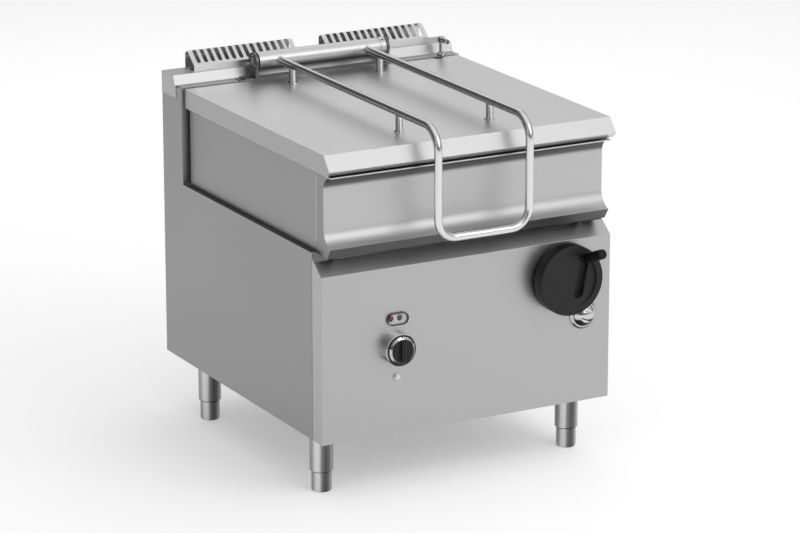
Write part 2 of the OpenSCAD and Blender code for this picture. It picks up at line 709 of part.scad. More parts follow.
module control_knob() color("#222222") placed() translate([-knob_x, panel_y, knob_z]) rotate([90, 0, 0]) {
    difference() {
        translate([0, 0, 8]) rotate_extrude($fn = 96)
            polygon([[0, 0], [34, 0], [34, 18.6], [38.5, 19], [38.5, 21], [36.5, 23], [33, 23.4], [32, 29], [30, 30.5], [0, 30.5]]);
        for (s = [-1, 1]) translate([s * 21, 0, 40]) cube([24, 70, 14], center = true);
    }
    translate([-8, -30, 32]) cube([16, 60, 11]);
    translate([0, 0, -14]) cylinder(h = 23, r = 4);
}

module thermostat() color("dimgray") placed() difference() {
    block([-knob_x - 24, panel_y + sheet, knob_z - 24], [-knob_x + 24, panel_y + 42, knob_z + 24]);
    rod_y(-knob_x, knob_z, 4 + run_gap, panel_y, panel_y + 18);
}

module reset_socket() color("whitesmoke") placed() difference() {
    union() {
        rod_y(-knob_x + 2, reset_z, 9.5, panel_y - 3, panel_y);
        rod_y(-knob_x + 2, reset_z, 8, panel_y - 1, panel_y + 20);
    }
    rod_y(-knob_x + 2, reset_z, 6 + run_gap, panel_y - 4, panel_y + 16);
}
module reset_button() color("whitesmoke") placed() {
    rod_y(-knob_x + 2, reset_z, 6, panel_y - 5, panel_y + 10);
    translate([-knob_x + 2, panel_y - 4.9, reset_z]) rotate([90, 0, 0]) cylinder(h = 1.2, r1 = 6, r2 = 4.6);
}

// Chrome cover plate, valve body behind the panel and the nut of the pipe.
module tap_valve() color("whitesmoke") placed() difference() {
    union() {
        translate([tap_x, panel_y, tap_z]) rotate([90, 0, 0]) rotate_extrude() polygon([[0, 0], [37, 0], [37, 3], [33, 7], [0, 7]]);
        rod_y(tap_x, tap_z, 13, panel_y - 1, panel_y + 40);
        translate([tap_x, panel_y + 40, tap_z]) rotate([-90, 0, 0]) cylinder(h = 14, r = 13, $fn = 6);
    }
    rod_y(tap_x, tap_z, 7 + run_gap, panel_y - 8, panel_y + 20);
}
module tap_lever() color("whitesmoke") placed() translate([tap_x, panel_y - 7.4, tap_z]) rotate([90, 0, 0]) {
    difference() {
        intersection() {
            translate([0, 0, -12]) sphere(32, $fn = 96);
            cylinder(h = 24, r = 29);
        }
        for (s = [-1, 1]) rotate(20) translate([0, s * 22, 18]) cube([70, 22, 18], center = true);
    }
    translate([0, 0, -22]) cylinder(h = 23, r = 7);
}

module water_pipe() color("peru") placed() {
    y0 = panel_y + 54;
    y1 = back_y - 85;
    r = 6;
    pipe_run([
        [tap_x, y0, tap_z], [tap_x, y0 + 50, tap_z], [pipe_x, y0 + 50, tap_z], [pipe_x, y1, tap_z],
        [pipe_x, y1, 840], [pipe_x, spout[1], 840], [spout[0], spout[1], 840], [spout[0], spout[1], ledge_z - 5]
    ], r);
    pipe_run([[pipe_x, y1, tap_z], [inlet[0], y1, tap_z], [inlet[0], y1, leg_h + 4]], r - 0.5);
    translate([inlet[0], inlet[1], leg_h - 22]) cylinder(h = 20, r = 10.4);
    translate([inlet[0], inlet[1], leg_h - 3]) cylinder(h = 3 + sheet, r = 15, $fn = 6);
    translate([inlet[0], inlet[1], leg_h]) cylinder(h = 8, r = 10);
    translate([inlet[0], inlet[1], leg_h + 2 * sheet]) cylinder(h = 10, r = 15, $fn = 6);
}

module spout_base() color("whitesmoke") placed() translate([spout[0], spout[1], 0]) difference() {
    union() {
        translate([0, 0, ledge_z]) cylinder(h = 4, r = 12);
        translate([0, 0, ledge_z + 4]) cylinder(h = 4, r1 = 12, r2 = 8);
        translate([0, 0, ledge_z - 5]) cylinder(h = 6, r = 7);
    }
    translate([0, 0, ledge_z - 2]) cylinder(h = 30, r = 5 + run_gap);
}
module tap_spout() color("whitesmoke") placed() translate([spout[0], spout[1], 0]) {
    translate([0, 0, ledge_z - 1]) cylinder(h = 40, r = 5);
    translate([0, 0, ledge_z + 35]) cylinder(h = 12, r = 9);
    translate([0, 0, ledge_z + 47]) cylinder(h = 2.5, r1 = 9, r2 = 6);
    translate([0, 0, ledge_z + 41]) rotate([90, 0, 0]) difference() {
        cylinder(h = 34, r = 7);
        translate([0, 0, 22]) cylinder(h = 13, r = 5.2);
    }
}

module cable_gland() color("#333333") placed() translate([-inlet[0], inlet[1], 0]) difference() {
    union() {
        translate([0, 0, leg_h - 20]) cylinder(h = 10, r = 13);
        translate([0, 0, leg_h - 12]) cylinder(h = 14, r = 15, $fn = 6);
        translate([0, 0, leg_h + sheet - 1]) cylinder(h = 14, r = 12);
    }
    translate([0, 0, leg_h - 21]) cylinder(h = 40, r = 6.5);
}

module terminal_box() color("dimgray") placed()
    block([-hw + 30, back_y - 60, 300], [-hw + 130, back_y - sheet, 420]);

// Levelling feet

module levelling_foot_front_left() color("silver") placed() translate([-leg_x, -leg_y, 0]) levelling_foot();
module levelling_foot_front_right() color("silver") placed() translate([leg_x, -leg_y, 0]) levelling_foot();
module levelling_foot_rear_left() color("silver") placed() translate([-leg_x, leg_y, 0]) levelling_foot();
module levelling_foot_rear_right() color("silver") placed() translate([leg_x, leg_y, 0]) levelling_foot();

base_frame();
left_side_panel();
right_side_panel();
front_panel();
rear_panel();
column_front_panel();
column_cap();
left_flue_grille();
right_flue_grille();
leg_sleeves();
left_pivot_bracket();
right_pivot_bracket();
pivot_bushes();
pan_rest();
drive_gearbox();
worm_bearing();
wheel_bearing();
lamp_bezel();
red_lens();
green_lens();
knob_bezel();
thermostat();
reset_socket();
tap_valve();
water_pipe();
spout_base();
cable_gland();
terminal_box();
handwheel();
wheel_shaft();
crank_grip();
tilt_worm();
worm_shaft();
pan_tub();
pan_front_fascia();
pan_left_side();
pan_right_side();
pan_rear_panel();
pan_bottom_cover();
heating_elements();
pivot_lugs();
sector_gear();
hinge_rail();
hinge_brackets();
hinge_shaft();
torsion_spring();
lid_shell();
lid_liner();
hinge_tube();
tube_collar();
lid_handle();
handle_posts();
control_knob();
reset_button();
tap_lever();
tap_spout();
levelling_foot_front_left();
levelling_foot_front_right();
levelling_foot_rear_left();
levelling_foot_rear_right();
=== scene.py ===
import json
import math
import bpy
import numpy as np
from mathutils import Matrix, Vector


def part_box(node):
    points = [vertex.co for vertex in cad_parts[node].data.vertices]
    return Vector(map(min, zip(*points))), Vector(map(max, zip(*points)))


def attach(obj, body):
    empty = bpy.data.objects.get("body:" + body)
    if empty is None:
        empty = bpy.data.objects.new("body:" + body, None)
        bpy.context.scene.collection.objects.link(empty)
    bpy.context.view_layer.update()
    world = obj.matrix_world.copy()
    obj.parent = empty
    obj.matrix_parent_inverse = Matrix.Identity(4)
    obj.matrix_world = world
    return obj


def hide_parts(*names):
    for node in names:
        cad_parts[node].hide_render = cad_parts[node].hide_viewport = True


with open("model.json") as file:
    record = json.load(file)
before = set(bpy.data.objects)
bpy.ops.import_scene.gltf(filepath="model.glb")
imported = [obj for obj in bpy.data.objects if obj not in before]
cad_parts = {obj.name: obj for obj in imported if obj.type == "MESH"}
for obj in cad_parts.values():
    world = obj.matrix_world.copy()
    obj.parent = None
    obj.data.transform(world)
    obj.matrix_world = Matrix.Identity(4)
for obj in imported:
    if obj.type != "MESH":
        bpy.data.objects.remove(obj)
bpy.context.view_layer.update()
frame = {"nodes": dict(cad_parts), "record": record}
nodes = frame["nodes"]
midY = 0.0442954  # the frame's origin is the middle of the whole box, this far behind the module's middle

print("camera and studio")

cameraSet = {
    "place": (-4.2886, -7.9219 + midY, 3.0776),  # metres
    "turn": 28.656,  # degrees to the right of straight ahead
    "dip": 16.34,  # degrees below the horizontal
    "lens": 168.14,  # mm on a 36 mm sensor
}


def makeCamera():
    data = bpy.data.cameras.new("camera")
    data.lens = cameraSet["lens"]
    data.sensor_width = 36
    data.clip_start, data.clip_end = 0.1, 60
    cam = bpy.data.objects.new("camera", data)
    bpy.context.scene.collection.objects.link(cam)
    cam.location = cameraSet["place"]
    cam.rotation_euler = (math.radians(90 - cameraSet["dip"]), 0, math.radians(-cameraSet["turn"]))
    bpy.context.scene.camera = cam


studio = {
    "brightWay": (0.30, -0.25, 0.92),  # the room is brightest this way
    "worldFrom": 0.05,  # below this much of the bright way the room is dark
    "worldLow": 0.10,
    "worldHigh": 1.20,
    "floorSize": 40.0,  # metres from the middle to each edge
    "floorTone": 0.80,
    "floorLift": 0.38,  # paper white seen by the camera and by polished steel
    "key": {"place": (1.6, -4.2, 3.6), "aim": (0, 0, 0.5), "size": 3.0, "power": 60},
    "fill": {"place": (-3.6, -2.0, 1.6), "aim": (0, 0, 0.5), "size": 2.4, "power": 8},
    "rim": {"place": (1.5, 3.4, 3.0), "aim": (0, 0, 0.6), "size": 3.2, "power": 20},
}


def nodeTree(owner):
    owner.use_nodes = True
    tree = owner.node_tree
    tree.nodes.clear()
    return tree


def makeWorld():
    world = bpy.data.worlds.new("studioWorld")
    bpy.context.scene.world = world
    tree = nodeTree(world)
    new, link = tree.nodes.new, tree.links.new
    coord = new("ShaderNodeTexCoord")
    lean = new("ShaderNodeVectorMath")
    lean.operation = "DOT_PRODUCT"
    lean.inputs[1].default_value = studio["brightWay"]
    ramp = new("ShaderNodeMapRange")
    ramp.interpolation_type = "SMOOTHSTEP"
    ramp.inputs["From Min"].default_value = studio["worldFrom"]
    ramp.inputs["From Max"].default_value = 1.0
    ramp.inputs["To Min"].default_value = studio["worldLow"]
    ramp.inputs["To Max"].default_value = studio["worldHigh"]
    light = new("ShaderNodeBackground")
    out = new("ShaderNodeOutputWorld")
    link(coord.outputs["Generated"], lean.inputs[0])
    link(lean.outputs["Value"], ramp.inputs["Value"])
    link(ramp.outputs["Result"], light.inputs["Strength"])
    link(light.outputs[0], out.inputs["Surface"])


def makeLamp(name, spec):
    data = bpy.data.lights.new(name, "AREA")
    data.shape = "SQUARE"
    data.size = spec["size"]
    data.energy = spec["power"]
    lamp = bpy.data.objects.new(name, data)
    bpy.context.scene.collection.objects.link(lamp)
    lamp.location = spec["place"]
    aim = Vector(spec["aim"]) - Vector(spec["place"])
    lamp.rotation_mode = "QUATERNION"
    lamp.rotation_quaternion = aim.to_track_quat("-Z", "Y")


# a flat sheet: lit paper, lifted to white for what looks at it, so that only the shadow darkens it
def makeFloor():
    size = studio["floorSize"]
    mesh = bpy.data.meshes.new("floor")
    corners = [(-size, -size, 0), (size, -size, 0), (size, size, 0), (-size, size, 0)]
    mesh.from_pydata(corners, [], [(0, 1, 2, 3)])
    floor = bpy.data.objects.new("floor", mesh)
    bpy.context.scene.collection.objects.link(floor)
    mat = bpy.data.materials.new("floorPaper")
    tree = nodeTree(mat)
    new, link = tree.nodes.new, tree.links.new
    paper = new("ShaderNodeBsdfDiffuse")
    tone = studio["floorTone"]
    paper.inputs["Color"].default_value = (tone, tone, tone, 1)
    lift = new("ShaderNodeEmission")
    path = new("ShaderNodeLightPath")
    seen = new("ShaderNodeMath")
    seen.operation = "MAXIMUM"
    seenToo = new("ShaderNodeMath")
    seenToo.operation = "MAXIMUM"
    strength = new("ShaderNodeMath")
    strength.operation = "MULTIPLY"
    strength.inputs[1].default_value = studio["floorLift"]
    both = new("ShaderNodeAddShader")
    out = new("ShaderNodeOutputMaterial")
    link(path.outputs["Is Camera Ray"], seen.inputs[0])
    link(path.outputs["Is Glossy Ray"], seen.inputs[1])
    link(seen.outputs[0], seenToo.inputs[0])
    link(path.outputs["Is Transmission Ray"], seenToo.inputs[1])
    link(seenToo.outputs[0], strength.inputs[0])
    link(strength.outputs[0], lift.inputs["Strength"])
    link(paper.outputs[0], both.inputs[0])
    link(lift.outputs[0], both.inputs[1])
    link(both.outputs[0], out.inputs["Surface"])
    mesh.materials.append(mat)


makeCamera()
makeWorld()
for lampName in ("key", "fill", "rim"):
    makeLamp(lampName, studio[lampName])
makeFloor()
bpy.context.scene.view_settings.view_transform = "Standard"

print("materials")


# a grey as it is seen on screen, turned into linear light
def toneOf(shown):
    return ((shown + 0.055) / 1.055) ** 2.4


# painted shade: steel is made darker where its own normal looks down, up, sideways or forward;
# the factor goes from 1 to span[2] as that part of the piece's own normal goes from span[0] to span[1]
def paintedShade(tree, coord, value, part, span):
    new, link = tree.nodes.new, tree.links.new
    split = new("ShaderNodeSeparateXYZ")
    fade = new("ShaderNodeMapRange")
    fade.interpolation_type = "SMOOTHSTEP"
    fade.inputs["From Min"].default_value = span[0]
    fade.inputs["From Max"].default_value = span[1]
    fade.inputs["To Min"].default_value = 1.0
    fade.inputs["To Max"].default_value = span[2]
    times = new("ShaderNodeMath")
    times.operation = "MULTIPLY"
    link(coord.outputs["Normal"], split.inputs[0])
    link(split.outputs[part], fade.inputs["Value"])
    link(fade.outputs["Result"], times.inputs[0])
    link(value, times.inputs[1])
    return times.outputs[0]


# painted reflection: bright and dark bands down a tube's length, a colour factor for each sideways part of
# the normal
def paintedReflectionBands(tree, coord, value, stops):
    new, link = tree.nodes.new, tree.links.new
    split = new("ShaderNodeSeparateXYZ")
    span = new("ShaderNodeMapRange")
    span.inputs["From Min"].default_value = -1.0
    bands = new("ShaderNodeValToRGB")
    points = bands.color_ramp.elements
    while len(points) < len(stops):
        points.new(0.5)
    for point, (sidePart, factor) in zip(points, stops):
        point.position = (sidePart + 1) / 2
        point.color = (factor, factor, factor, 1)
    times = new("ShaderNodeMath")
    times.operation = "MULTIPLY"
    link(coord.outputs["Normal"], split.inputs[0])
    link(split.outputs["X"], span.inputs["Value"])
    link(span.outputs["Result"], bands.inputs["Fac"])
    link(bands.outputs["Color"], times.inputs[0])
    link(value, times.inputs[1])
    return times.outputs[0]


# sheet or tube with a ground grain: fine noise drawn out along one axis moves the colour, roughness and bump
def metal(name, look):
    mat = bpy.data.materials.new(name)
    tree = nodeTree(mat)
    new, link = tree.nodes.new, tree.links.new
    coord = new("ShaderNodeTexCoord")
    stretch = new("ShaderNodeMapping")
    stretch.inputs["Scale"].default_value = look["grain"]
    grain = new("ShaderNodeTexNoise")
    grain.inputs["Scale"].default_value = look.get("grainScale", 1.0)
    grain.inputs["Detail"].default_value = 3
    cloud = new("ShaderNodeTexNoise")
    cloud.inputs["Scale"].default_value = look.get("cloudScale", 3.0)
    cloud.inputs["Detail"].default_value = 2
    both = new("ShaderNodeMix")
    both.data_type = "FLOAT"
    both.inputs[0].default_value = 0.35
    shade = new("ShaderNodeMapRange")
    depth = look.get("depth", 0.04)
    shade.inputs["To Min"].default_value = 1 - depth
    shade.inputs["To Max"].default_value = 1 + depth
    tint = new("ShaderNodeVectorMath")
    tint.operation = "SCALE"
    tint.inputs[0].default_value = look["colour"]
    rough = new("ShaderNodeMapRange")
    rough.inputs["To Min"].default_value = look["rough"] - look.get("roughSpread", 0.05)
    rough.inputs["To Max"].default_value = look["rough"] + look.get("roughSpread", 0.05)
    bump = new("ShaderNodeBump")
    bump.inputs["Strength"].default_value = look.get("bump", 0.05)
    bump.inputs["Distance"].default_value = 0.0002
    skin = new("ShaderNodeBsdfPrincipled")
    skin.inputs["Metallic"].default_value = look.get("metallic", 1.0)
    out = new("ShaderNodeOutputMaterial")
    link(coord.outputs["Object"], stretch.inputs["Vector"])
    link(stretch.outputs["Vector"], grain.inputs["Vector"])
    link(coord.outputs["Object"], cloud.inputs["Vector"])
    link(grain.outputs["Fac"], both.inputs[2])
    link(cloud.outputs["Fac"], both.inputs[3])
    link(both.outputs[0], shade.inputs["Value"])
    last = shade.outputs["Result"]
    # painted shade on faces that look down, up, sideways or forward, and painted reflection bands, all from
    # the piece's own normal
    for side, part in (("under", "Z"), ("over", "Z"), ("flank", "X"), ("front", "Y")):
        if side in look:
            last = paintedShade(tree, coord, last, part, look[side])
    if "reflectionBands" in look:
        last = paintedReflectionBands(tree, coord, last, look["reflectionBands"])
    link(last, tint.inputs["Scale"])
    link(tint.outputs["Vector"], skin.inputs["Base Color"])
    link(both.outputs[0], rough.inputs["Value"])
    link(rough.outputs["Result"], skin.inputs["Roughness"])
    link(grain.outputs["Fac"], bump.inputs["Height"])
    link(bump.outputs["Normal"], skin.inputs["Normal"])
    link(skin.outputs[0], out.inputs["Surface"])
    return mat


# moulded plastic or glass: a fine pebble bump, a little unevenness in its colour and gloss
def plastic(name, look):
    mat = bpy.data.materials.new(name)
    tree = nodeTree(mat)
    new, link = tree.nodes.new, tree.links.new
    coord = new("ShaderNodeTexCoord")
    pebble = new("ShaderNodeTexNoise")
    pebble.inputs["Scale"].default_value = look.get("pebble", 900)
    pebble.inputs["Detail"].default_value = 2
    cloud = new("ShaderNodeTexNoise")
    cloud.inputs["Scale"].default_value = 18
    shade = new("ShaderNodeMapRange")
    shade.inputs["To Min"].default_value = 0.85
    shade.inputs["To Max"].default_value = 1.15
    tint = new("ShaderNodeVectorMath")
    tint.operation = "SCALE"
    tint.inputs[0].default_value = look["colour"]
    rough = new("ShaderNodeMapRange")
    rough.inputs["To Min"].default_value = look["rough"] - 0.06
    rough.inputs["To Max"].default_value = look["rough"] + 0.06
    bump = new("ShaderNodeBump")
    bump.inputs["Strength"].default_value = look.get("bump", 0.12)
    bump.inputs["Distance"].default_value = 0.0002
    skin = new("ShaderNodeBsdfPrincipled")
    skin.inputs["Specular IOR Level"].default_value = look.get("gloss", 0.5)
    if "coat" in look:
        skin.inputs["Coat Weight"].default_value = look["coat"]
        skin.inputs["Coat Roughness"].default_value = 0.08
    out = new("ShaderNodeOutputMaterial")
    for noise in (pebble, cloud):
        link(coord.outputs["Object"], noise.inputs["Vector"])
    link(cloud.outputs["Fac"], shade.inputs["Value"])
    link(shade.outputs["Result"], tint.inputs["Scale"])
    link(tint.outputs["Vector"], skin.inputs["Base Color"])
    link(cloud.outputs["Fac"], rough.inputs["Value"])
    link(rough.outputs["Result"], skin.inputs["Roughness"])
    link(pebble.outputs["Fac"], bump.inputs["Height"])
    link(bump.outputs["Normal"], skin.inputs["Normal"])
    link(skin.outputs[0], out.inputs["Surface"])
    return mat


def grey(shown):
    return (toneOf(shown),) * 3


finishes = {
    "satinPanel": {
        "colour": grey(0.72), "rough": 0.40, "grain": (900, 900, 8), "depth": 0.03, "cloudScale": 2.2,
    },
    # a darker copy of the satin panel steel: painted shade on the side panels
    "satinSide": {
        "colour": grey(0.62), "rough": 0.42, "grain": (900, 900, 8), "depth": 0.03, "cloudScale": 2.0,
    },
    # a paler copy of the satin panel steel: painted light on the lid top; its flank and front factors are
    # painted shade on the lid's sides and front lip
    "satinTop": {
        "colour": grey(0.86), "rough": 0.36, "grain": (8, 900, 900), "depth": 0.03, "cloudScale": 2.0,
        "flank": (-0.45, -0.75, 0.58), "front": (-0.2, -0.7, 0.84),
    },
    # its under, over and flank factors are painted shade on the fascia's flares, underside and ends
    "satinFascia": {
        "colour": grey(0.77), "rough": 0.46, "grain": (8, 900, 900), "depth": 0.03, "cloudScale": 2.0,
        "under": (0.02, -0.34, 0.22), "over": (0.15, 0.55, 0.86), "flank": (-0.6, -0.9, 0.62),
    },
    # its under factor is painted shade on the tube's lower side
    "satinTube": {
        "colour": grey(0.80), "rough": 0.40, "grain": (600, 14, 14), "depth": 0.05,
        "under": (0.25, -0.55, 0.34),
    },
    "platedSteel": {"colour": grey(0.40), "rough": 0.34, "grain": (60, 60, 60), "depth": 0.05},
    "innerSteel": {"colour": grey(0.62), "rough": 0.5, "grain": (60, 60, 60), "depth": 0.08, "cloudScale": 9},
    "grilleSteel": {"colour": grey(0.82), "rough": 0.34, "grain": (8, 900, 900), "depth": 0.03},
    # its bands are a painted reflection, bright and dark, down the legs and feet
    "legSteel": {
        "colour": grey(0.84), "rough": 0.24, "grain": (500, 500, 12), "depth": 0.05,
        "reflectionBands": [(-1.0, 0.45), (-0.86, 1.0), (-0.62, 0.95), (-0.42, 0.30), (-0.12, 0.13), (0.25, 0.22),
                    (0.55, 0.62), (0.8, 0.35)],
    },
    "polishedSteel": {
        "colour": grey(0.86), "rough": 0.17, "grain": (300, 12, 300), "depth": 0.04, "roughSpread": 0.04,
    },
    # its under factor is painted shade on faces that look down
    "chrome": {
        "colour": grey(0.74), "rough": 0.07, "grain": (40, 40, 40), "depth": 0.02, "roughSpread": 0.02,
        "bump": 0.02, "under": (-0.30, -0.46, 0.10),
    },
    # its under factor is painted shade, near black, on the tap's lower side
    "tapChrome": {
        "colour": grey(0.80), "rough": 0.07, "grain": (40, 40, 40), "depth": 0.02, "roughSpread": 0.02,
        "bump": 0.02, "under": (-0.16, -0.32, 0.03),
    },
    # a near-black strip that stands in for the shadow in the cabinet's corner gaps: painted shadow
    "gapShade": {
        "colour": (0.05, 0.05, 0.05), "rough": 0.6, "grain": (60, 60, 60), "depth": 0.1, "metallic": 0.0,
    },
    # a pale strip along the fascia's end seams: painted highlight
    "seamHighlight": {"colour": grey(0.92), "rough": 0.5, "grain": (60, 60, 60), "depth": 0.03},
    "screwSteel": {"colour": grey(0.80), "rough": 0.22, "grain": (200, 200, 200), "depth": 0.05},
    "machinedSteel": {"colour": grey(0.72), "rough": 0.3, "grain": (300, 300, 300), "depth": 0.06},
    "bronze": {"colour": (0.30, 0.22, 0.12), "rough": 0.34, "grain": (200, 200, 200), "depth": 0.1},
    "castIron": {
        "colour": (0.09, 0.095, 0.1), "rough": 0.55, "grain": (260, 260, 260), "depth": 0.25, "bump": 0.4,
        "metallic": 0.6,
    },
    "copper": {
        "colour": (0.55, 0.24, 0.12), "rough": 0.32, "grain": (120, 120, 120), "depth": 0.15,
        "cloudScale": 14,
    },
    "tubSteel": {"colour": grey(0.80), "rough": 0.33, "grain": (8, 700, 700), "depth": 0.04, "cloudScale": 5},
    "elementSheath": {
        "colour": (0.06, 0.058, 0.055), "rough": 0.6, "grain": (200, 200, 200), "depth": 0.3, "metallic": 0.5,
    },
}
mouldings = {
    "blackPlastic": {"colour": (0.012, 0.012, 0.012), "rough": 0.44},
    "wheelPlastic": {"colour": (0.012, 0.012, 0.012), "rough": 0.50, "gloss": 0.34},
    "gripPlastic": {"colour": (0.006, 0.006, 0.006), "rough": 0.46, "gloss": 0.22},
    "knobPlastic": {"colour": (0.007, 0.007, 0.007), "rough": 0.30, "gloss": 0.30},
    "redGlass": {"colour": (0.17, 0.022, 0.035), "rough": 0.20, "coat": 0.3, "bump": 0.02},
    "greenGlass": {"colour": (0.025, 0.115, 0.070), "rough": 0.20, "coat": 0.3, "bump": 0.02},
    "bezelDark": {"colour": (0.035, 0.035, 0.036), "rough": 0.38, "gloss": 0.4},
    "bezelField": {"colour": (0.66, 0.66, 0.65), "rough": 0.42},
}
skins = {name: metal(name, look) for name, look in finishes.items()}
skins.update({name: plastic(name, look) for name, look in mouldings.items()})

# the finish of each material slot, and the nodes that have one of their own
slotSkins = {
    "satin_panel": "satinPanel", "galvanised": "innerSteel", "grille_steel": "grilleSteel",
    "leg_steel": "legSteel", "bronze": "bronze", "cast_gear": "castIron", "machined_steel": "machinedSteel",
    "polished_steel": "polishedSteel", "chrome": "chrome", "red_lens": "redGlass", "green_lens": "greenGlass",
    "black_plastic": "blackPlastic", "copper": "copper", "tub_steel": "tubSteel",
    "element_sheath": "elementSheath",
}
ownSkins = {
    "lid_shell": "satinTop", "pan_front_fascia": "satinFascia", "hinge_tube": "satinTube",
    "tube_collar": "satinTube", "hinge_brackets": "platedSteel", "control_knob": "knobPlastic",
    "left_side_panel": "satinSide", "right_side_panel": "satinSide", "pan_left_side": "satinSide",
    "pan_right_side": "satinSide",
}

edges = {"width": 0.0007, "angle": 28, "segments": 2}


# a carried-over node: merged seams, softly rounded edges and smooth round faces
def dressNode(name, skin):
    node = nodes[name]
    node.data.materials.clear()
    node.data.materials.append(skins[skin])
    weld = node.modifiers.new("weld", "WELD")
    weld.merge_threshold = 0.00002
    if name not in plainNodes:
        bevel = node.modifiers.new("edge", "BEVEL")
        bevel.width = edges["width"]
        bevel.segments = edges["segments"]
        bevel.limit_method = "ANGLE"
        bevel.angle_limit = math.radians(edges["angle"])
        bevel.use_clamp_overlap = True
        bevel.harden_normals = False
        level = node.modifiers.new("level", "WEIGHTED_NORMAL")
        level.keep_sharp = True
        level.weight = 100
    else:
        split = node.modifiers.new("split", "EDGE_SPLIT")
        split.split_angle = math.radians(edges["angle"])
    node.data.polygons.foreach_set("use_smooth", np.ones(len(node.data.polygons), bool))


plainNodes = {"torsion_spring", "tilt_worm", "heating_elements", "sector_gear"}
for row in frame["record"]["subparts"]:
    dressNode(row["node"], ownSkins.get(row["node"], slotSkins[row["material_slot"]]))


print("mesh helpers")


def unit(v):
    v = np.asarray(v, float)
    return v / np.linalg.norm(v)


# two directions square to the axis; together with it they make a right-handed set
def sideways(axis):
    other = np.array([0, 0, 1.0]) if abs(axis[2]) < 0.9 else np.array([1.0, 0, 0])
    u = unit(np.cross(other, axis))
    return u, np.cross(axis, u)


# a grid of rows by columns as quads: columns always run round, rows only where they close on themselves
def gridQuads(rows, cols, roundRows=False):
    i = np.arange(rows if roundRows else rows - 1)[:, None]
    j = np.arange(cols)[None, :]
    nextI, nextJ = (i + 1) % rows, (j + 1) % cols
    corners = (i * cols + j, i * cols + nextJ, nextI * cols + nextJ, nextI * cols + j)
    return np.stack(np.broadcast_arrays(*corners), -1).reshape(-1, 4)


# a grid whose first and last rows are shut by a point each: rows of rings and two fans
def shutGrid(grid, first, last):
    rows, cols = grid.shape[:2]
    points = np.concatenate([grid.reshape(-1, 3), [first], [last]])
    j = np.arange(cols)
    nextJ = (j + 1) % cols
    end = (rows - 1) * cols
    low = np.stack([nextJ, j, np.full(cols, rows * cols)], -1)
    high = np.stack([end + j, end + nextJ, np.full(cols, rows * cols + 1)], -1)
    return points, [gridQuads(rows, cols), low, high]


# corners of an outline become arcs: each arc leaves the two sides at the same distance from the corner
def rounded(corners, radius, steps=5):
    corners = np.asarray(corners, float)
    radius = np.broadcast_to(radius, len(corners))
    out = [corners[:1]]
    for before, here, after, r in zip(corners[:-2], corners[1:-1], corners[2:], radius[1:-1]):
        a, b = unit(before - here), unit(after - here)
        half = math.acos(np.clip(a @ b, -1, 1)) / 2
        if r <= 0 or half > 1.55:
            out.append(here[None])
            continue
        reach = r / math.tan(half)
        centre = here + unit(a + b) * r / math.sin(half)
        s, e = here + a * reach - centre, here + b * reach - centre
        turn = math.pi - 2 * half
        k = np.linspace(0, 1, steps + 1)[:, None]
        out.append(centre + (np.sin((1 - k) * turn) * s + np.sin(k * turn) * e) / math.sin(turn))
    out.append(corners[-1:])
    return np.concatenate(out)


# turned work: every profile point (radius, height) goes once round the axis
def lathe(profile, centre, axis, sides=96):
    axis = unit(axis)
    u, v = sideways(axis)
    t = 2 * np.pi * np.arange(sides) / sides
    ring = np.cos(t)[:, None] * u + np.sin(t)[:, None] * v
    r, h = np.asarray(profile, float).T
    centre = np.asarray(centre, float)
    if r[0] < 1e-6 and r[-1] < 1e-6:
        inner = slice(1, -1)
        grid = centre + h[inner, None, None] * axis + r[inner, None, None] * ring
        return shutGrid(grid, centre + h[0] * axis, centre + h[-1] * axis)
    grid = centre + h[:, None, None] * axis + r[:, None, None] * ring
    return grid.reshape(-1, 3), [gridQuads(len(r), sides, roundRows=True)]


# chunks of points and faces become one piece that rides a body, in the place of the nodes it replaces
def addPiece(name, chunks, skin, body, instead=()):
    points, loops, sizes, start = [], [], [], 0
    for pts, faceSets in chunks:
        points.append(pts)
        for faces in faceSets:
            loops.append((faces + start).ravel())
            sizes.append(np.full(len(faces), faces.shape[1]))
        start += len(pts)
    points, loops, sizes = np.concatenate(points), np.concatenate(loops), np.concatenate(sizes)
    mesh = bpy.data.meshes.new(name)
    mesh.vertices.add(len(points))
    mesh.vertices.foreach_set("co", points.ravel())
    mesh.loops.add(len(loops))
    mesh.loops.foreach_set("vertex_index", loops)
    mesh.polygons.add(len(sizes))
    mesh.polygons.foreach_set("loop_start", np.cumsum(sizes) - sizes)
    mesh.update(calc_edges=True)
    mesh.polygons.foreach_set("use_smooth", np.ones(len(sizes), bool))
    mesh.materials.append(skins[skin])
    piece = bpy.data.objects.new(name, mesh)
    bpy.context.scene.collection.objects.link(piece)
    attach(piece, body)
    if instead:
        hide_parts(*instead)
    return piece


# blends from 0 to 1 as x goes from a to b
def ease(x, a, b):
    k = np.clip((x - a) / (b - a), 0, 1)
    return k * k * (3 - 2 * k)


# the middle of a node's box
def middle(node):
    low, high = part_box(node)
    return (np.array(low) + np.array(high)) / 2


sideX, upZ, frontY = np.array([1.0, 0, 0]), np.array([0, 0, 1.0]), np.array([0, -1.0, 0])
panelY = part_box("front_panel")[0].y  # the flat front of the cabinet


# a turned body whose face is carved: outer rows are a lathe profile, then rings of falling radius
# take their height from heightAt(across, up), down to one point in the middle
def carved(outer, radii, heightAt, centre, across, up, sides=360):
    axis = np.cross(across, up)
    t = 2 * np.pi * np.arange(sides) / sides
    ring = np.cos(t)[:, None] * across + np.sin(t)[:, None] * up
    outer = np.asarray(outer, float)
    body = centre + outer[1:, 1, None, None] * axis + outer[1:, 0, None, None] * ring
    a, b = np.outer(radii, np.cos(t)), np.outer(radii, np.sin(t))
    face = centre + heightAt(a, b)[..., None] * axis + np.asarray(radii)[:, None, None] * ring
    top = centre + float(heightAt(np.zeros(1), np.zeros(1))[0]) * axis
    return shutGrid(np.concatenate([body, face]), centre + outer[0, 1] * axis, top)


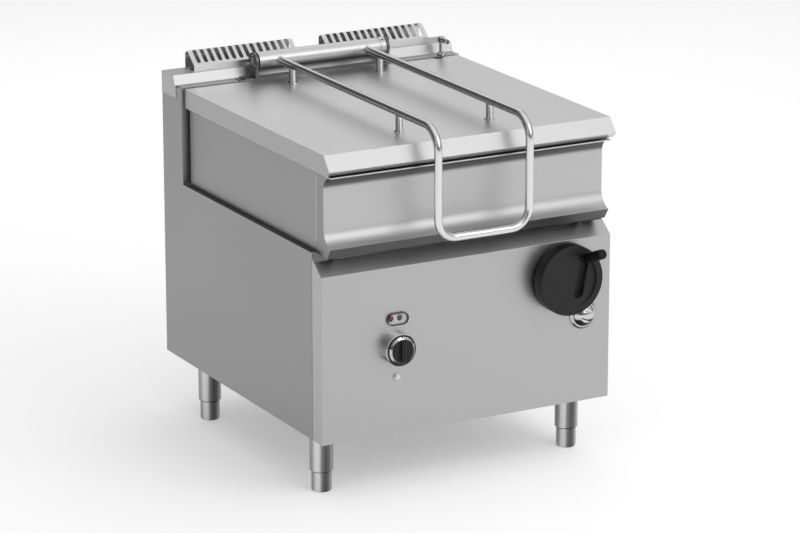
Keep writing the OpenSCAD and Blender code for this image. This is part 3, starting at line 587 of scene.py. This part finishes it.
# a plate of any rounded outline with softened rims: the outline is repeated through the thickness,
# drawn in by a quarter circle at both faces
def plate(outline, centre, across, up, thick, soft=0.0006, steps=3):
    outline = np.asarray(outline, float)
    along = np.roll(outline, -1, 0) - np.roll(outline, 1, 0)
    outward = np.stack([along[:, 1], -along[:, 0]], -1)
    outward /= np.linalg.norm(outward, axis=1)[:, None]
    k = np.linspace(0, np.pi / 2, steps + 1)
    inset = np.concatenate([soft * (1 - np.sin(k)), soft * (1 - np.sin(k[::-1]))])
    depth = np.concatenate([soft * (1 - np.cos(k)), thick - soft * (1 - np.cos(k[::-1]))])
    flat = outline[None] - inset[:, None, None] * outward[None]
    across, up = np.asarray(across, float), np.asarray(up, float)
    axis = np.cross(across, up)
    centre = np.asarray(centre, float)
    grid = centre + flat[..., :1] * across + flat[..., 1:] * up + depth[:, None, None] * axis
    mid = centre + outline.mean(0) @ np.stack([across, up])
    return shutGrid(grid, mid, mid + thick * axis)


# a slot's outline: two half circles joined by straight sides
def slotOutline(length, width, n=40):
    t = 2 * np.pi * (np.arange(n) + 0.5) / n
    shift = np.where(np.cos(t) > 0, 1, -1) * (length - width) / 2
    return np.stack([width / 2 * np.cos(t) + shift, width / 2 * np.sin(t)], -1)


# a pan-headed screw with a cross recess
def screwHead(centre, axis, r, turn=0.0):
    axis = unit(axis)
    u, v = sideways(axis)
    c, s = math.cos(turn), math.sin(turn)
    across, up = c * u + s * v, c * v - s * u
    high = 0.55 * r

    def heightAt(a, b):
        rho = np.hypot(a, b)
        dome = high * np.sqrt(np.clip(1 - (rho / r) ** 2 * 0.62, 0, 1))
        arm = np.minimum(np.abs(a), np.abs(b))
        cross = (1 - ease(arm, 0.10 * r, 0.17 * r)) * (1 - ease(rho, 0.55 * r, 0.66 * r))
        return dome - 0.38 * r * cross

    outer = [(0, 0), (r * 0.97, 0), (r, high * 0.25)]
    shares = np.array([0.99, 0.93, 0.85, 0.76, 0.68, 0.6, 0.52, 0.44, 0.36, 0.28, 0.2, 0.12])
    return carved(outer, r * shares, heightAt, centre, across, up, 48)


# a rectangle with rounded corners as a closed outline
def roundedOblong(w, h, r, steps=4):
    x, z = w / 2 - r, h / 2 - r
    k = np.linspace(0, np.pi / 2, steps + 1)
    parts = [np.stack([cx + r * np.cos(k + q), cz + r * np.sin(k + q)], -1)
             for q, cx, cz in ((0, x, z), (np.pi / 2, -x, z), (np.pi, -x, -z), (1.5 * np.pi, x, -z))]
    return np.concatenate(parts)


# a sharp-edged piece gets a small live bevel
def soften(piece, width):
    bevel = piece.modifiers.new("edge", "BEVEL")
    bevel.width = width
    bevel.segments = 2
    bevel.limit_method = "ANGLE"
    bevel.angle_limit = math.radians(30)
    level = piece.modifiers.new("level", "WEIGHTED_NORMAL")
    level.keep_sharp = True


print("handwheel")

wheelSet = {
    "rim": 0.0175,  # width of the raised rim
    "edge": 0.0024,  # radius of the rim's outer edge
    "dish": 0.0060,  # how deep the tilted face lies at its lowest side
    "dishWay": 20,  # degrees from +X towards +Z
    "groove": (0.0011, 0.0012),  # depth and width of the line where the face meets the rim
    "slot": (0.112, 0.027, 0.0175),  # length, width and depth
    "slotTurn": 12.25,  # degrees from upright
    "pin": (0.038, 0.050),  # the grip's pin from the wheel's centre
    "pinSize": (0.003, 0.0165),  # radius and half length
    "pinSunk": 0.004,  # below the rim's face
    "lean": 23,  # degrees of the grip from the wheel's axis
    "eye": 0.0078,  # radius of the tongue round the pin
    "tongue": (0.014, 0.008),  # length beyond the pin, and thickness
}
gripProfile = [  # radius and distance from the pin, with the rounding of each corner
    (0, 0.013, 0), (0.0082, 0.013, 0.001), (0.0088, 0.0165, 0.004), (0.0122, 0.024, 0.006),
    (0.0131, 0.030, 0.02), (0.0122, 0.079, 0.0032), (0, 0.079, 0),
]


def makeHandwheel():
    low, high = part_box("handwheel")
    r, deep = (high.x - low.x) / 2, high.y - low.y
    centre = np.array([(low.x + high.x) / 2, high.y, (low.z + high.z) / 2])
    turn, way = math.radians(wheelSet["slotTurn"]), math.radians(wheelSet["dishWay"])
    along = np.array([math.sin(turn), math.cos(turn)])
    length, width, depth = wheelSet["slot"]
    grooveDepth, grooveWidth = wheelSet["groove"]
    half = (length - width) / 2
    mid = np.array(wheelSet["pin"]) - along * half
    inner = r - wheelSet["rim"]

    # the face is a plane tilted about a line and cut off at the rim's level; the slot is sunk below it
    def heightAt(a, b):
        rho = np.hypot(a, b)
        face = wheelSet["dish"] * (0.25 + 0.75 * (a * math.cos(way) + b * math.sin(way)) / inner)
        face = 0.5 * (face + np.sqrt(face ** 2 + 0.0006 ** 2)) * ease(rho, inner + 0.0004, inner - 0.0012)
        reach = np.clip((a - mid[0]) * along[0] + (b - mid[1]) * along[1], -half, half)
        gap = np.hypot(a - mid[0] - reach * along[0], b - mid[1] - reach * along[1]) - width / 2
        slot = ease(gap, 0.0005, -0.0008)
        groove = grooveDepth * np.exp(-((rho - inner) / grooveWidth) ** 2) * ease(face, 0.0001, 0.0007)
        return deep - face * (1 - slot) - depth * slot - groove * (1 - slot)

    edge = wheelSet["edge"]
    corners = [(0, 0), (r - 0.006, 0), (r, 0.005), (r, deep), (0.5 * r, deep)]
    outer = rounded(corners, [0, 0.003, 0.002, edge, 0], 6)[:-1]
    radii = np.concatenate([
        np.linspace(r - edge - 0.001, inner + 0.003, 7),
        np.linspace(inner + 0.0022, inner - 0.003, 12),
        np.linspace(inner - 0.0038, 0.0009, 74),
    ])
    disc = carved(outer, radii, heightAt, centre, sideX, upZ, 540)
    pinX, pinZ = wheelSet["pin"]
    pinAt = centre + pinX * sideX + pinZ * upZ + (deep - wheelSet["pinSunk"]) * frontY
    across = math.cos(turn) * sideX - math.sin(turn) * upZ
    pinR, pinHalf = wheelSet["pinSize"]
    pin = lathe([(0, -pinHalf), (pinR, -pinHalf), (pinR, pinHalf), (0, pinHalf)], pinAt, across, 32)
    addPiece("wheelDisc", [disc], "wheelPlastic", "handwheel_set", ["handwheel"])
    addPiece("gripPin", [pin], "gripPlastic", "handwheel_set")
    return pinAt, across, turn


# the grip is turned work on a flat tongue whose round end sits on the pin
def makeGrip(pinAt, across, turn):
    lean = math.radians(wheelSet["lean"])
    axis = np.array([math.sin(lean) * math.sin(turn), -math.cos(lean), math.sin(lean) * math.cos(turn)])
    side = np.cross(axis, across)
    corners = [(r, h) for r, h, _ in gripProfile]
    body = lathe(rounded(corners, [bend for _, _, bend in gripProfile], 7), pinAt, axis, 96)
    t = np.linspace(-np.pi / 2, np.pi / 2, 15)
    eye, (length, thick) = wheelSet["eye"], wheelSet["tongue"]
    back = [(-length, eye), (-length, -eye)]
    outline = np.concatenate([np.stack([eye * np.cos(t), eye * np.sin(t)], -1), back])
    tongue = plate(outline, pinAt - 0.5 * thick * across, -axis, side, thick, 0.0008)
    addPiece("gripHandle", [body, tongue], "gripPlastic", "crank", ["crank_grip"])


makeGrip(*makeHandwheel())

print("knob, lamps and reset button")

knobSet = {  # radii, and heights above the panel
    "stem": 0.034,  # the part inside the bezel
    "flange": (0.0384, 0.0262, 0.0290),  # radius, back and front
    "band": (0.0346, 0.0296),  # radius of the bright band at its back and at its front
    "bandHeight": (0.0293, 0.0302, 0.0338),  # its back, its outer edge and its front
    "cap": 0.0291,
    "capHeight": 0.0365,
    "bar": (0.0062, 0.0430),  # half width and height
    "mark": (0.0024, 0.0042),  # width and length of the index mark
    "markAt": (0.0330, 0.0316),  # from the axis, above the panel
    "markSlope": (0.85, 0.53),  # its lean along the band: up and backwards
}


def makeKnob():
    centre = middle("control_knob")
    centre = np.array([centre[0], panelY, centre[2]])
    cap, high, (barHalf, barHigh) = knobSet["cap"], knobSet["capHeight"], knobSet["bar"]

    # a dished cap with a straight-sided grip bar from rim to rim
    def heightAt(a, b):
        rho = np.hypot(a, b)
        base = high - 0.0018 * (1 - (rho / cap) ** 2) - 0.0012 * ease(rho, cap - 0.0016, cap - 0.0002)
        w = np.abs(a) + 0.0010 * (np.abs(b) / cap) ** 2
        bar = (1 - ease(w, barHalf, barHalf + 0.0020)) * (1 - ease(rho, cap - 0.0054, cap - 0.0024))
        crown = barHigh - 0.0009 * (a / barHalf) ** 2 - 0.0012 * (b / 0.03) ** 2
        return base + (crown - base) * bar

    stem, (flange, flangeBack, flangeFront) = knobSet["stem"], knobSet["flange"]
    (bandBack, bandFront), (backHigh, edgeHigh, frontHigh) = knobSet["band"], knobSet["bandHeight"]
    corners = [(0, 0.009), (stem, 0.009), (stem, 0.0256), (flange, flangeBack), (flange, flangeFront),
               (bandBack - 0.003, 0.0294), (cap, 0.0300), (cap, high - 0.001), (cap - 0.001, high)]
    outer = rounded(corners, [0, 0.001, 0.0005, 0.0007, 0.0007, 0, 0, 0.0008, 0], 4)[:-1]
    rim, face = np.linspace(cap - 0.0006, cap - 0.0066, 14), np.linspace(cap - 0.0071, 0.0004, 52)
    body = carved(outer, np.concatenate([rim, face]), heightAt, centre, sideX, upZ, 240)
    addPiece("knobBody", [body], "knobPlastic", "knob", ["control_knob"])
    inner = cap - 0.0004  # the band's hidden edge, a little inside the cap
    ring = [(inner, backHigh), (bandBack, backHigh), (bandBack, edgeHigh), (bandFront, frontHigh),
            (inner, frontHigh + 0.0002)]
    band = addPiece("knobBand", [lathe(ring, centre, frontY, 128)], "chrome", "knob")
    soften(band, 0.0003)
    (outward, raised), (rise, fall) = knobSet["markAt"], knobSet["markSlope"]
    spot = centre + outward * upZ + raised * frontY
    outline = roundedOblong(*knobSet["mark"], 0.0004)
    mark = plate(outline, spot, sideX, rise * upZ - fall * frontY, 0.0012, 0.0003)
    addPiece("knobMark", [mark], "knobPlastic", "knob")


lensSet = {
    "sunk": 0.001,  # its back lies this far behind the panel's face
    "dome": 0.0042,  # how far the edge lies behind the middle
    "pillow": (0.00016, 0.0021),  # depth and pitch of the small pillows
}


def makeLens(node, name, skin):
    low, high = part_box(node)
    r = (high.x - low.x) / 2
    centre = np.array([(low.x + high.x) / 2, panelY + lensSet["sunk"], (low.z + high.z) / 2])
    top = centre[1] - low.y
    depth, pitch = lensSet["pillow"]

    # a low dome with a grid of small pillows, as a signal lens is moulded inside
    def heightAt(a, b):
        rho = np.hypot(a, b)
        dome = top - lensSet["dome"] * (rho / r) ** 2
        waves = 2 + np.cos(2 * np.pi * a / pitch) + np.cos(2 * np.pi * b / pitch)
        return dome - depth * waves * (1 - ease(rho, 0.8 * r, 0.95 * r))

    outer = [(0, 0), (r, 0), (r, top - lensSet["dome"] - 0.0004)]
    lens = carved(outer, np.linspace(r * 0.985, r * 0.03, 34), heightAt, centre, sideX, upZ, 96)
    addPiece(name, [lens], skin, "cabinet", [node])


lampSet = {
    "slope": 0.0006,  # the rim's bevels
    "top": 0.0012,  # how far in its top reaches
    "wall": 0.0020,  # how far in the wall meets the field
    "field": 0.0008,  # height of the sunk field
}


# a slot-shaped rim round a pale sunk field: rows of the slot's outline, each drawn in and raised
def makeLampBezel():
    low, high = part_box("lamp_bezel")
    centre = np.array([(low.x + high.x) / 2, panelY, (low.z + high.z) / 2])
    length, width, deep = high.x - low.x, high.z - low.z, panelY - low.y
    slope, top, wall, field = (lampSet[key] for key in ("slope", "top", "wall", "field"))
    inset = [0, 0, slope, top, top + slope, wall, wall + 0.0004]
    raised = np.array([0, deep - slope, deep, deep, deep - slope, field, 0])
    rims = np.stack([slotOutline(length - 2 * d, width - 2 * d, 64) for d in inset])
    grid = centre + rims[..., :1] * sideX + rims[..., 1:] * upZ + raised[:, None, None] * frontY
    faces = [gridQuads(len(inset), 64, roundRows=True)]
    ring = addPiece("lampRim", [(grid.reshape(-1, 3), faces)], "bezelDark", "cabinet", ["lamp_bezel"])
    soften(ring, 0.0002)
    floor = plate(slotOutline(length - 2 * wall, width - 2 * wall, 64), centre, sideX, upZ, field, 0.0003)
    addPiece("lampField", [floor], "bezelField", "cabinet")


# a rounded cap that is slightly hollow in the middle
def makeResetButton():
    low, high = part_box("reset_button")
    centre = np.array([(low.x + high.x) / 2, high.y, (low.z + high.z) / 2])
    r, deep = (high.x - low.x) / 2, high.y - low.y
    hollow = 0.0008

    def heightAt(a, b):
        return deep - hollow + hollow * ease(np.hypot(a, b), 0.0, 0.7 * r)

    corners = [(0, 0), (r, 0), (r, deep - 0.0006), (r - 0.0016, deep)]
    outer = rounded(corners, [0, 0.0004, 0.0012, 0], 4)[:-1]
    button = carved(outer, np.linspace(r - 0.0014, r * 0.04, 16), heightAt, centre, sideX, upZ, 72)
    addPiece("resetCap", [button], "polishedSteel", "button", ["reset_button"])


makeKnob()
makeLampBezel()
makeLens("red_lens", "redLamp", "redGlass")
makeLens("green_lens", "greenLamp", "greenGlass")
makeResetButton()

print("hinge screws")

seamSet = {
    "wide": 0.0014,
    "low": 0.650,
    "high": 0.810,
    "proud": 0.00015,  # out of the sheet
    "thick": 0.0008,
    "gapWide": 0.0012,  # the cabinet's corner gap
    "gapShort": 0.003,  # shorter than the panel by this much
}


# the same strip on the right flank and on the left: face is how far out the flanks lie
def flankStrips(outline, face, y, z):
    start = face + seamSet["proud"] - seamSet["thick"]
    right = plate(outline, (start, y, z), -frontY, upZ, seamSet["thick"], 0.0002)
    left = plate(outline, (-start, y, z), frontY, upZ, seamSet["thick"], 0.0002)
    return [right, left]


# the fascia's end caps meet the pan's sides in an upright seam; the pale strip laid along it is a painted
# highlight of the seam's edge
def makeSeamHighlights():
    low, high = seamSet["low"], seamSet["high"]
    strip = roundedOblong(seamSet["wide"], high - low, 0.0002)
    joint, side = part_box("pan_left_side")[0].y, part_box("pan_right_side")[1].x
    strips = flankStrips(strip, side, joint, (low + high) / 2)
    addPiece("fasciaSeamHighlights", strips, "seamHighlight", "pan")


# the cabinet's front is folded round and stands a shadow's width in front of the side panels; the dark strip
# in that gap is painted shadow
def makeCornerGaps():
    low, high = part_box("front_panel")
    strip = roundedOblong(seamSet["gapWide"], high.z - low.z - seamSet["gapShort"], 0.0002)
    strips = flankStrips(strip, high.x, high.y + 0.0002, (low.z + high.z) / 2)
    addPiece("cornerGaps", strips, "gapShade", "cabinet")


makeSeamHighlights()
makeCornerGaps()

hingeSet = {
    "screw": 0.0032,  # radius of a head
    "ring": 0.0165,  # from the hinge axis
    "count": 3,
    "first": 90,  # degrees
    "faces": ((-0.1935, -1), (0.190, 1)),  # where each end plate's outer face lies, and which way it looks
}


# small screws round the hinge axis on the outer face of each end plate
def makeHingeScrews():
    tube = middle("hinge_tube")
    ring, heads = hingeSet["ring"], []
    for face, way in hingeSet["faces"]:
        for k in range(hingeSet["count"]):
            turn = math.radians(hingeSet["first"] + 360 / hingeSet["count"] * k)
            spot = np.array([face, tube[1] + ring * math.cos(turn), tube[2] + ring * math.sin(turn)])
            heads.append(screwHead(spot - 0.0002 * way * sideX, way * sideX, hingeSet["screw"], 0.4 * k))
    addPiece("hingeScrews", heads, "screwSteel", "pan")


makeHingeScrews()

print("water tap")

tapSet = {
    "ball": 0.0322,  # radius of the ball that the knob is cut from
    "proud": 0.0074,  # its back stands this far in front of the panel
    "barHalf": 0.0085,  # half width of the grip bar
    "barTurn": 20,  # degrees down to the right
    "shelf": 0.0160,  # height of the cut faces beside the bar
    "stem": (0.007, -0.0220),  # radius and its hidden end
    "button": 0.0036,
}


def makeTap():
    low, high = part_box("tap_lever")
    r = (high.x - low.x) / 2
    ball, barHalf = tapSet["ball"], tapSet["barHalf"]
    centre = np.array([(low.x + high.x) / 2, panelY - tapSet["proud"], (low.z + high.z) / 2])
    top = centre[1] - low.y
    turn = math.radians(tapSet["barTurn"])
    across = math.cos(turn) * sideX - math.sin(turn) * upZ
    up = np.cross(frontY, across)

    # a ball whose front is cut away on both sides of a grip bar, with hollow flanks
    def heightAt(a, b):
        rho = np.hypot(a, b)
        dome = np.sqrt(np.clip(ball ** 2 - rho ** 2, 0, None)) - ball + top
        shelf = tapSet["shelf"] - 0.0016 * (1 - (rho / r) ** 2) + 0.0002 * np.sin(b / 0.004)
        cut = ease(np.abs(b) - 0.05 * a, barHalf - 0.0004, barHalf + 0.0030)
        return np.minimum(dome, dome + (shelf - dome) * cut)

    edge = float(heightAt(np.array([r]), np.zeros(1))[0])
    outer = [(0, 0.0004), (r - 0.001, 0.0004), (r, 0.0014), (r, max(edge, 0.0018))]
    radii = np.concatenate([np.linspace(r * 0.995, 0.012, 40), np.linspace(0.0115, 0.0004, 24)])
    knob = carved(outer, radii, heightAt, centre, across, up, 240)
    stemR, stemEnd = tapSet["stem"]
    stem = lathe([(0, stemEnd), (stemR, stemEnd), (stemR, 0.0006), (0, 0.0006)], centre, frontY, 48)
    button, buttonLow, buttonHigh = tapSet["button"], top - 0.002, top - 0.0002
    corners = [(0, buttonLow), (button, buttonLow), (button, buttonHigh), (0, buttonHigh)]
    cover = lathe(rounded(corners, [0, 0, 0.0006, 0], 3), centre, frontY, 40)
    addPiece("tapKnob", [knob, stem], "tapChrome", "tap", ["tap_lever"])
    addPiece("tapButton", [cover], "chrome", "tap")


makeTap()
